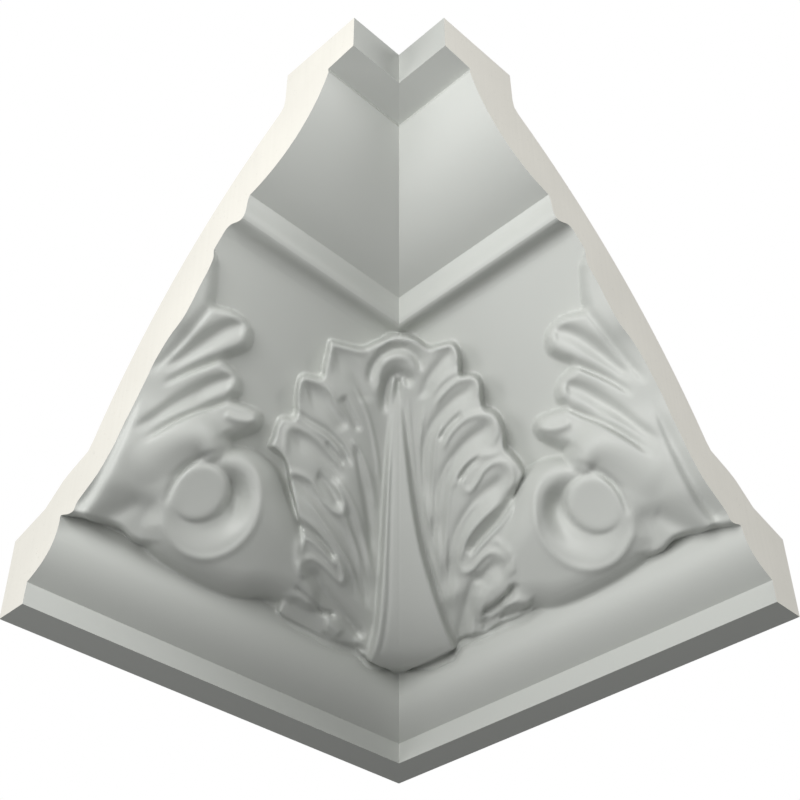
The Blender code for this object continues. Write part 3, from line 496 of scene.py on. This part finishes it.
# Strokes pulled by points of x, u, half width and depth. The stem's head has its tops instead, and its
# ridge its heights.
SCROLL_LINE = [(117.4, 60.6, 0.8, 0.2), (121.6, 58, 0.9, 1.6), (123.6, 49.5, 0.8, 1.8),
               (119.8, 43, 0.7, 0.2)]
STEM_HEAD = [(117.4, 62.6, 5, 8.7), (124.6, 68, 9, 9.2), (131, 52, 10, 8.2)]
STEM_LINES = [
    [(113.5, 65, 0.8, 0.6), (116.6, 61.4, 1, 0.7), (120.8, 58.6, 1, 1.2), (123.6, 49, 0.9, 0.6)],
    [(127.5, 42, 1.8, 0.2), (132, 36.5, 2.8, 1.4), (136.5, 30, 2.8, 2.2)],
    [(109, 73, 1.4, 0.6), (112.4, 68.8, 2.4, 3.4), (115.4, 67.2, 2.2, 2.8), (117.8, 68.6, 1.4, 0.6)],
    [(141.6, 99, 1.2, 0.8), (142.6, 90, 1.6, 1.6), (146, 72, 1.1, 0.8)],
]
STEM_RIDGE = [(110.6, 77, 1.2, 0.8), (114.5, 72.6, 1.5, 1.8), (121, 73.4, 1.2, 0.6)]
STEM_END = [(144.6, 68, 1, 0.4), (141.6, 52, 2, 1.6), (139.4, 40, 2.6, 3), (144, 30, 2.4, 3)]
LOBE_GROOVES = [
    [(120.8, 79, 0.9, 0.8), (125, 72.6, 1.1, 3.2), (131.4, 67, 1.1, 3.2), (135.4, 55.5, 0.9, 1)],
    [(125.8, 93, 0.9, 0.6), (130.5, 85, 1.1, 2.8), (137.4, 81, 1.1, 2.8), (140.4, 71, 0.8, 0.8)],
]
LOBE_SCOOPS = [
    [(123.5, 83, 1.4, 0.8), (131, 82.5, 2.4, 3.2), (134.5, 68, 2, 3), (139.8, 57, 1.1, 1)],
    [(128.5, 97.4, 1.5, 0.8), (137, 97, 2.4, 3.2), (139.4, 85, 2, 3), (143.4, 75, 1.1, 0.8)],
]


def carve_scroll(carving):
    """The stem with its turned-out lobes, and the scroll that curls over its foot."""
    carving.plate(STEM, edge=2.6, tops=STEM_TOPS, spread=4.5, blend=0.8)
    carving.plate(SCROLL, edge=10.0, tops=SCROLL_TOPS, spread=8.0, blend=2.4)
    carving.hollow((108.4, 49.8), radius=15.2, deep=(105, 55.0), spread=9.0, shallow=2.2, depth=7.6)
    carving.boss((113.6, 50.8), radius=8.6, low=4.4, high=7.8, blend=0.8)
    carving.line(*SCROLL_RING)
    carving.cut(SCROLL_LINE)
    carving.swell(STEM_HEAD, edge=2.0, blend=2.5)
    for line in STEM_LINES:
        carving.cut(line)
    carving.rise(STEM_RIDGE)
    for groove, scoop in zip(LOBE_GROOVES, LOBE_SCOOPS):
        carving.cut(groove, left=1.4, right=0.8)
        carving.cut(scoop, left=0.8, right=1.6)
    carving.cut(STEM_END, left=1.1, right=1.0)


def carve_leaf(carving):
    """The two halves of the acanthus leaf over the corner and the curl at its top."""
    carving.on_leaf(1)
    carving.plate(LEAF_RIGHT + LEAF_LEFT, edge=2.1, tops=LEAF_TOPS, spread=3.6, blend=0.8, foot=LEAF_FOOT,
                  power=1.35)
    for line in HOLLOWS_RIGHT + CRESTS_RIGHT + FOLDS_RIGHT:
        carving.line(*line)
    carving.on_leaf(-1)
    for line in HOLLOWS_LEFT + CRESTS_LEFT + FOLDS_LEFT:
        carving.line(*line)
    carving.on_mitre()
    for line in TOP_LINES:
        carving.line(*line)
    carving.on_leaf(1)


def carve_rib(carving):
    """The broad rib that covers the mitre."""
    carving.rib(RIB_LEFT, RIB_RIGHT, RIB_HEIGHT, RIB_ROUND, edge=0.9)
    for line in RIB_LINES:
        carving.line(*line)


def face_height(x, u):
    """n of the finished face at each x and u. The leaf is carved on a ground that bridges the mitre."""
    ground = np.interp(u, *to_face(*face_profile().T))
    carving = Carving(x, u, ground)
    carving.on_leg(1)
    carve_scroll(carving)
    carving.on_leg(-1, LEFT_LATE, LEFT_HIGH)
    carve_scroll(carving)
    bridge = (np.sqrt(x * x + CORNER_ROUND ** 2) - np.abs(x)) / 2 - CORNER_SINK
    carving.n -= bridge
    carve_leaf(carving)
    carving.n += bridge
    carve_rib(carving)
    carving.n = np.maximum(carving.n, ground)
    carving.line(*SEAM)
    return carving.n


def face_rows():
    """u of each row: every corner of the section, and even steps through the carving."""
    section = to_face(*face_profile().T)[0]
    even = np.arange(CARVED_FROM, CARVED_TO, ROW_STEP)
    apart = np.abs(even[:, None] - section[None]).min(axis=1) > ROW_STEP / 3
    return np.sort(np.concatenate([section, even[apart]]))


def finer(values, times):
    """The values with even steps put between them."""
    places = np.linspace(0, len(values) - 1, (len(values) - 1) * times + 1)
    return np.interp(places, np.arange(len(values)), values)


def averaged(values, times, axis):
    """Every so many values along one axis, each a mean that leans on the nearest ones."""
    weights = np.concatenate([np.arange(1, times + 1), np.arange(times - 1, 0, -1)]) / times ** 2
    values = np.moveaxis(values, axis, -1)
    pad = [(0, 0)] * (values.ndim - 1) + [(times - 1, times - 1)]
    padded = np.pad(values, pad, mode="edge")
    mean = sum(w * padded[..., i:i + values.shape[-1]] for i, w in enumerate(weights))
    return np.moveaxis(mean[..., ::times], -1, axis)


def square_cut(u, n):
    """How far from the mitre the square cut is at u and n."""
    return LENGTH / ROOT2 - (u + n) / 2


def face_grid():
    """x, u, n of the face from the left cut to the right one, and how far the carving stands out."""
    rows = finer(face_rows(), FINER)
    half = finer(np.linspace(0, 1, COLUMNS + 1), FINER)
    share = np.concatenate([-half[:0:-1], half])
    ground = np.interp(rows, *to_face(*face_profile().T))
    sides, rows_twice = np.array([[-1.0], [1.0]]), np.stack([rows, rows])
    n_ends = np.stack([ground, ground])
    for _ in range(END_PASSES):
        n_ends = (n_ends + face_height(sides * square_cut(rows, n_ends), rows_twice)) / 2
    end_left, end_right = square_cut(rows, n_ends)
    x = np.where(share[None] < 0, end_left[:, None], end_right[:, None]) * share[None]
    u = np.repeat(rows[:, None], len(share), axis=1)
    relief = face_height(x, u) - ground[:, None]
    relief = averaged(averaged(relief, FINER, 0), FINER, 1)
    x, u, ground = x[::FINER, ::FINER], u[::FINER, ::FINER], ground[::FINER]
    n = ground[:, None] + relief
    for column, side in ((0, -1), (-1, 1)):
        x[:, column] = side * square_cut(u[:, column], n[:, column])
    return x, u, n, relief


def place(x, p, z):
    """Points at p and z of the section and x across the corner, in metres, in the frame of the model."""
    middle = (LENGTH + PROJECTION) / ROOT2 / 2
    return np.stack([x, middle - np.abs(x) - ROOT2 * p, z], axis=-1) * MM


def quads(index):
    """The squares between neighbours in a grid of vertex numbers."""
    corners = [index[:-1, :-1], index[:-1, 1:], index[1:, 1:], index[1:, :-1]]
    return np.stack(corners, axis=-1).reshape(-1, 4)


def moulding_mesh():
    """One closed mesh with a primed face, bare cut ends and a bare back, and the relief at each vertex."""
    x, u, n, relief = face_grid()
    rows, columns = x.shape
    face = place(x, (u + n) / ROOT2, (u - n) / ROOT2)
    p, z = back_profile().T
    back = np.stack([place(side * (LENGTH - p) / ROOT2, p, z) for side in (-1, 0, 1)], axis=1)
    points = np.concatenate([face.reshape(-1, 3), back.reshape(-1, 3)])
    index = np.arange(rows * columns).reshape(rows, columns)
    hidden = rows * columns + np.arange(3 * len(p)).reshape(-1, 3)
    fronts, backs = quads(index), quads(hidden)
    flats = []
    for edge, rim in ((index[-1], hidden[0]), (index[0], hidden[-1])):
        flats += [[*edge[:COLUMNS + 1], rim[1], rim[0]], [*edge[COLUMNS:], rim[2], rim[1]]]
    cuts = [[*index[:, side], *hidden[:, side]] for side in (0, -1)]
    faces = [list(map(int, face)) for face in [*fronts, *backs, *flats, *cuts]]
    mesh = bpy.data.meshes.new("corner_moulding_carved")
    mesh.from_pydata(points.tolist(), [], faces)
    slots = [PRIMED] * len(fronts) + [BARE] * (len(faces) - len(fronts))
    mesh.polygons.foreach_set("material_index", slots)
    return mesh, np.concatenate([relief.ravel(), np.zeros(hidden.size)])


def finish_mesh(mesh, standing):
    """Outward faces, triangles, smooth carving and crisp arrises."""
    bm = bmesh.new()
    bm.from_mesh(mesh)
    bmesh.ops.recalc_face_normals(bm, faces=bm.faces)
    bmesh.ops.triangulate(bm, faces=[f for f in bm.faces if len(f.verts) > 4])
    for face in bm.faces:
        face.smooth = True
    bm.verts.ensure_lookup_table()
    for edge in bm.edges:
        carved = max(standing[v.index] for v in edge.verts) > PLAIN_UNDER
        bare = any(f.material_index != edge.link_faces[0].material_index for f in edge.link_faces)
        edge.smooth = not (bare or (not carved and edge.calc_face_angle(0.0) > ARRIS))
    bm.to_mesh(mesh)
    bm.free()


class Value:
    """A socket of a material that ordinary arithmetic works on, alone or with plain numbers."""

    def __init__(self, finish, socket):
        self.finish, self.socket = finish, socket

    def maths(self, operation, *others):
        """A Math node that works on this value and others."""
        inputs = dict(enumerate([self, *others]))
        return self.finish.node("Math", {"operation": operation}, inputs).out("Value")

    def __add__(self, other):
        return self.maths("ADD", other)

    def __sub__(self, other):
        return self.maths("SUBTRACT", other)

    def __mul__(self, other):
        return self.maths("MULTIPLY", other)

    def __rsub__(self, other):
        return (self * -1.0) + other

    __radd__ = __add__
    __rmul__ = __mul__

    def over(self, low, high):
        """0 below low, 1 above high, and smooth between."""
        return self.finish.node("MapRange", {"interpolation_type": "SMOOTHSTEP"},
                                {"Value": self, "From Min": low, "From Max": high}).out("Result")


class Node:
    """A node of a material, with its outputs to hand."""

    def __init__(self, finish, node):
        self.finish, self.node = finish, node

    def out(self, name):
        return Value(self.finish, self.node.outputs[name])


class Finish:
    """A material in the making, with the piece's own coordinates to hand."""

    def __init__(self, name):
        self.material = bpy.data.materials.new(name)
        self.material.use_nodes = True
        self.tree = self.material.node_tree
        self.shader = self.tree.nodes["Principled BSDF"]
        self.place = self.node("TexCoord").out("Object")

    def node(self, kind, settings=None, inputs=None):
        """A node of a type, with its settings made first and then its sockets filled or linked."""
        node = self.tree.nodes.new("ShaderNode" + kind)
        for name, value in (settings or {}).items():
            setattr(node, name, value)
        for name, value in (inputs or {}).items():
            self.put(node.inputs[name], value)
        return Node(self, node)

    def put(self, socket, value):
        """Link a value to a socket, or set the socket to a plain number or colour."""
        if isinstance(value, Value):
            self.tree.links.new(value.socket, socket)
        else:
            socket.default_value = value

    def noise(self, size, detail, stretch=(1, 1, 1)):
        """Soft noise from 0 to 1 with features of a size in metres."""
        where = self.place
        if stretch != (1, 1, 1):
            where = self.node("Mapping", None, {"Vector": where, "Scale": stretch}).out("Vector")
        inputs = {"Vector": where, "Scale": 1 / size, "Detail": detail, "Roughness": 0.5}
        return self.node("TexNoise", None, inputs).out("Fac")

    def tint(self, share, low, high):
        """A colour between two, by a share from 0 to 1."""
        return self.node("Mix", {"data_type": "RGBA"}, {0: share, 6: (*low, 1.0), 7: (*high, 1.0)}).out(2)

    def surface(self, **sockets):
        """Fill the shader's sockets, named in lower case."""
        for name, value in sockets.items():
            self.put(self.shader.inputs[name.replace("_", " ").title()], value)


def scaled(colour, factor):
    """The colour made lighter or darker."""
    return tuple(min(1.0, channel * factor) for channel in colour)


def primed_finish(sizes):
    """Factory primer: matt light grey, a little uneven, with the faint grain of the mould."""
    finish = Finish("primed_face")
    cloud = finish.noise(PRIMER_CLOUD, detail=3.0)
    grain = finish.noise(sizes.primer_grain, detail=2.0)
    share = (cloud * 0.5 + grain * 0.2 - 0.3).over(0.0, 1.0)
    colour = finish.tint(share, scaled(sizes.primer, 1 - sizes.primer_unevenness),
                         scaled(sizes.primer, 1 + sizes.primer_unevenness))
    height = grain * 0.7 + finish.noise(sizes.primer_grain / 4, detail=1.0) * 0.3
    bump = finish.node("Bump", None, {"Height": height, "Strength": 0.25, "Distance": sizes.primer_relief})
    roughness = cloud * 0.1 + (sizes.primer_roughness - 0.05)
    finish.surface(base_color=colour, roughness=roughness, metallic=0.0, normal=bump.out("Normal"))
    return finish.material


def bare_finish(sizes):
    """Bare cream foam: pores of a fraction of a millimetre, sunk by the bump and darkened in colour as
    painted shade, and the saw's faint lines.
    """
    finish = Finish("bare_foam")
    cloud = finish.noise(FOAM_CLOUD, detail=3.0)
    cells = finish.node("TexVoronoi", None, {"Vector": finish.place, "Scale": 1 / sizes.pore_spacing})
    pore_pits_and_shade = 1.0 - cells.out("Distance").over(0.10, 0.24)
    open_ones = finish.noise(sizes.pore_spacing * 2.5, detail=1.0).over(0.50, 0.62)
    pore_pits_and_shade = pore_pits_and_shade * open_ones
    sawn = finish.noise(SAW_LINE, detail=1.0, stretch=SAW_STRETCH)
    # The pores lower the tone: painted shade in their pits, on top of the bump that sinks them.
    share = (cloud * 0.7 + sawn * 0.3 - pore_pits_and_shade * 0.7).over(0.0, 1.0)
    colour = finish.tint(share, scaled(sizes.foam, 0.93), scaled(sizes.foam, 1.03))
    bump = finish.node("Bump", None, {"Height": sawn * 0.3 - pore_pits_and_shade, "Strength": 0.35, "Distance": PORE_DEPTH})
    finish.surface(base_color=colour, roughness=0.85 - cloud * 0.1, metallic=0.0, normal=bump.out("Normal"))
    return finish.material


class MouldingSizes(bpy.types.PropertyGroup):
    """Sizes and colours of the moulding."""
    primer: bpy.props.FloatVectorProperty(
        name="Primer", description="Colour of the primed face", subtype="COLOR", size=3, min=0, max=1,
        default=(0.565, 0.58, 0.55))
    primer_unevenness: bpy.props.FloatProperty(
        name="Primer unevenness", description="How far the primer's tone varies either way",
        default=0.035, min=0, max=0.3, subtype="FACTOR")
    primer_roughness: bpy.props.FloatProperty(
        name="Primer roughness", description="Roughness of the primer's sheen", default=0.5, min=0, max=1,
        subtype="FACTOR")
    primer_grain: bpy.props.FloatProperty(
        name="Primer grain", description="Width of the primer's grain", default=0.0012, min=0.0002, max=0.01,
        unit="LENGTH", precision=5)
    primer_relief: bpy.props.FloatProperty(
        name="Primer relief", description="Depth of the primer's grain", default=0.00006, min=0, max=0.001,
        unit="LENGTH", precision=5)
    foam: bpy.props.FloatVectorProperty(
        name="Foam", description="Colour of the bare foam", subtype="COLOR", size=3, min=0, max=1,
        default=(0.84, 0.82, 0.75))
    pore_spacing: bpy.props.FloatProperty(
        name="Pore spacing", description="Distance between pores of the foam", default=0.0011, min=0.0003,
        max=0.01, unit="LENGTH", precision=5)


class StageSizes(bpy.types.PropertyGroup):
    """The camera, light and floor."""
    lens: bpy.props.FloatProperty(
        name="Lens", description="Focal length on a sensor 36 mm wide", default=60.96, min=10, max=300,
        unit="CAMERA")
    camera_place: bpy.props.FloatVectorProperty(
        name="Camera place", description="Where the camera stands", size=3, subtype="TRANSLATION",
        unit="LENGTH", default=(-0.00245, -0.3141, -0.1789))
    camera_pitch: bpy.props.FloatProperty(
        name="Camera pitch", description="How far the camera looks up", subtype="ANGLE",
        default=math.radians(39.28))
    camera_yaw: bpy.props.FloatProperty(
        name="Camera yaw", description="How far the camera looks to the right", subtype="ANGLE",
        default=math.radians(0.516))
    camera_roll: bpy.props.FloatProperty(
        name="Camera roll", description="How far the camera leans", subtype="ANGLE",
        default=math.radians(-0.416))
    floor_depth: bpy.props.FloatProperty(
        name="Floor depth", description="Distance of the floor below the part", default=1.5, min=0.2, max=3,
        unit="LENGTH")
    key_power: bpy.props.FloatProperty(
        name="Key light", description="Power of the soft light near the camera", default=1.52, min=0,
        max=500, unit="POWER")
    key_size: bpy.props.FloatProperty(
        name="Key size", description="Width of the soft light near the camera", default=0.3, min=0.1, max=5,
        unit="LENGTH")
    left_fill: bpy.props.FloatProperty(
        name="Left fill", description="Power of the broad light on the left", default=7.7, min=0, max=500,
        unit="POWER")
    right_fill: bpy.props.FloatProperty(
        name="Right fill", description="Power of the broad light on the right", default=11.0, min=0, max=500,
        unit="POWER")
    back_fill: bpy.props.FloatProperty(
        name="Back fill", description="Power of the high light behind", default=42.0, min=0, max=500,
        unit="POWER")
    fill_size: bpy.props.FloatProperty(
        name="Fill size", description="Width of the broad lights", default=0.8, min=0.1, max=5,
        unit="LENGTH")
    room_light: bpy.props.FloatProperty(
        name="Room light", description="Strength of the light from all round", default=0.05, min=0, max=2)


class MOULDING_OT_casting(bpy.types.Operator):
    """Make the carved corner: primed face, bare cut ends and bare back"""
    bl_idname = "moulding.casting"
    bl_label = "Carved corner"

    def execute(self, context):
        sizes = context.scene.moulding_sizes
        mesh, relief = moulding_mesh()
        finish_mesh(mesh, relief)
        mesh.materials.append(primed_finish(sizes))
        mesh.materials.append(bare_finish(sizes))
        piece = bpy.data.objects.new("carved_corner", mesh)
        context.scene.collection.objects.link(piece)
        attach(piece, "root")
        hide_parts("corner_moulding")
        return {"FINISHED"}


class MOULDING_OT_stage(bpy.types.Operator):
    """Make the floor, the soft light and the camera"""
    bl_idname = "moulding.stage"
    bl_label = "Studio stage"

    def execute(self, context):
        stage = context.scene.moulding_stage
        self.make_floor(context.scene, stage)
        self.make_light(context.scene, stage)
        self.make_world(context.scene, stage)
        self.make_camera(context.scene, stage)
        context.scene.view_settings.view_transform = "Standard"
        return {"FINISHED"}

    def make_floor(self, scene, stage):
        """A plain pale sheet well below the part."""
        mesh = bpy.data.meshes.new("floor")
        corners = [(x * FLOOR_HALF, y * FLOOR_HALF, -stage.floor_depth)
                   for x, y in ((-1, -1), (1, -1), (1, 1), (-1, 1))]
        mesh.from_pydata(corners, [], [(0, 1, 2, 3)])
        finish = Finish("floor_pale")
        finish.surface(base_color=PALE, roughness=0.8)
        mesh.materials.append(finish.material)
        floor = bpy.data.objects.new("floor", mesh)
        scene.collection.objects.link(floor)

    def make_light(self, scene, stage):
        """Four soft lights that face the middle of the part."""
        centre = (CAD_BOX[0] + CAD_BOX[1]) / 2
        lights = (("key_light", stage.key_power, stage.key_size, KEY_DIRECTION, KEY_DISTANCE),
                  ("left_fill", stage.left_fill, stage.fill_size, LEFT_DIRECTION, FILL_DISTANCE),
                  ("right_fill", stage.right_fill, stage.fill_size, RIGHT_DIRECTION, FILL_DISTANCE),
                  ("back_fill", stage.back_fill, 2 * stage.fill_size, BACK_DIRECTION, BACK_DISTANCE))
        for name, power, size, direction, distance in lights:
            light = bpy.data.lights.new(name, "AREA")
            light.shape, light.size, light.energy = "SQUARE", size, power
            around, above = (math.radians(angle) for angle in direction)
            towards = Vector((math.sin(around) * math.cos(above), -math.cos(around) * math.cos(above),
                              math.sin(above)))
            lamp = bpy.data.objects.new(name, light)
            lamp.location = centre + towards * distance
            lamp.rotation_euler = towards.to_track_quat("Z", "Y").to_euler()
            scene.collection.objects.link(lamp)

    def make_world(self, scene, stage):
        """Faint light from all round, and white behind the part."""
        world = bpy.data.worlds.new("studio")
        world.use_nodes = True
        nodes, links = world.node_tree.nodes, world.node_tree.links
        shown = nodes.new("ShaderNodeBackground")
        shown.inputs["Color"].default_value = WHITE
        room = nodes["Background"]
        room.inputs["Color"].default_value = WHITE
        room.inputs["Strength"].default_value = stage.room_light
        seen = nodes.new("ShaderNodeLightPath")
        either = nodes.new("ShaderNodeMixShader")
        links.new(seen.outputs["Is Camera Ray"], either.inputs["Fac"])
        links.new(room.outputs["Background"], either.inputs[1])
        links.new(shown.outputs["Background"], either.inputs[2])
        links.new(either.outputs["Shader"], nodes["World Output"].inputs["Surface"])
        scene.world = world

    def make_camera(self, scene, stage):
        """The camera below the part, looking up into the corner."""
        data = bpy.data.cameras.new("camera")
        data.lens, data.sensor_width = stage.lens, SENSOR
        data.clip_start, data.clip_end = CLIP_NEAR, CLIP_FAR
        camera = bpy.data.objects.new("camera", data)
        pitch, yaw = stage.camera_pitch, stage.camera_yaw
        forward = Vector((math.sin(yaw) * math.cos(pitch), math.cos(yaw) * math.cos(pitch),
                          math.sin(pitch)))
        right = Vector((math.cos(yaw), -math.sin(yaw), 0.0))
        up = right.cross(forward)
        lean = Matrix.Rotation(-stage.camera_roll, 3, forward)
        axes = Matrix((lean @ right, lean @ up, lean @ -forward)).transposed()
        camera.matrix_world = Matrix.Translation(stage.camera_place) @ axes.to_4x4()
        scene.collection.objects.link(camera)
        scene.camera = camera


class MOULDING_PT_panel(bpy.types.Panel):
    """Lists the steps that make the moulding"""
    bl_idname = "MOULDING_PT_panel"
    bl_label = "Carved corner moulding"
    bl_space_type = "VIEW_3D"
    bl_region_type = "UI"
    bl_category = "Moulding"

    def draw(self, context):
        for sizes, step in ((context.scene.moulding_sizes, MOULDING_OT_casting),
                            (context.scene.moulding_stage, MOULDING_OT_stage)):
            box = self.layout.box()
            for name in sizes.__annotations__:
                box.prop(sizes, name)
            box.operator(step.bl_idname)


CLASSES = (MouldingSizes, StageSizes, MOULDING_OT_casting, MOULDING_OT_stage, MOULDING_PT_panel)


def register():
    for cls in CLASSES:
        bpy.utils.register_class(cls)
    bpy.types.Scene.moulding_sizes = bpy.props.PointerProperty(type=MouldingSizes)
    bpy.types.Scene.moulding_stage = bpy.props.PointerProperty(type=StageSizes)


def unregister():
    del bpy.types.Scene.moulding_sizes
    del bpy.types.Scene.moulding_stage
    for cls in reversed(CLASSES):
        bpy.utils.unregister_class(cls)


def main():
    """Make the piece and the stage."""
    register()
    for old in [o for o in bpy.data.objects if o.type in ("CAMERA", "LIGHT")]:
        bpy.data.objects.remove(old)
    bpy.ops.moulding.casting()
    bpy.ops.moulding.stage()
    bpy.context.view_layer.update()


if __name__ == "__main__":
    main()
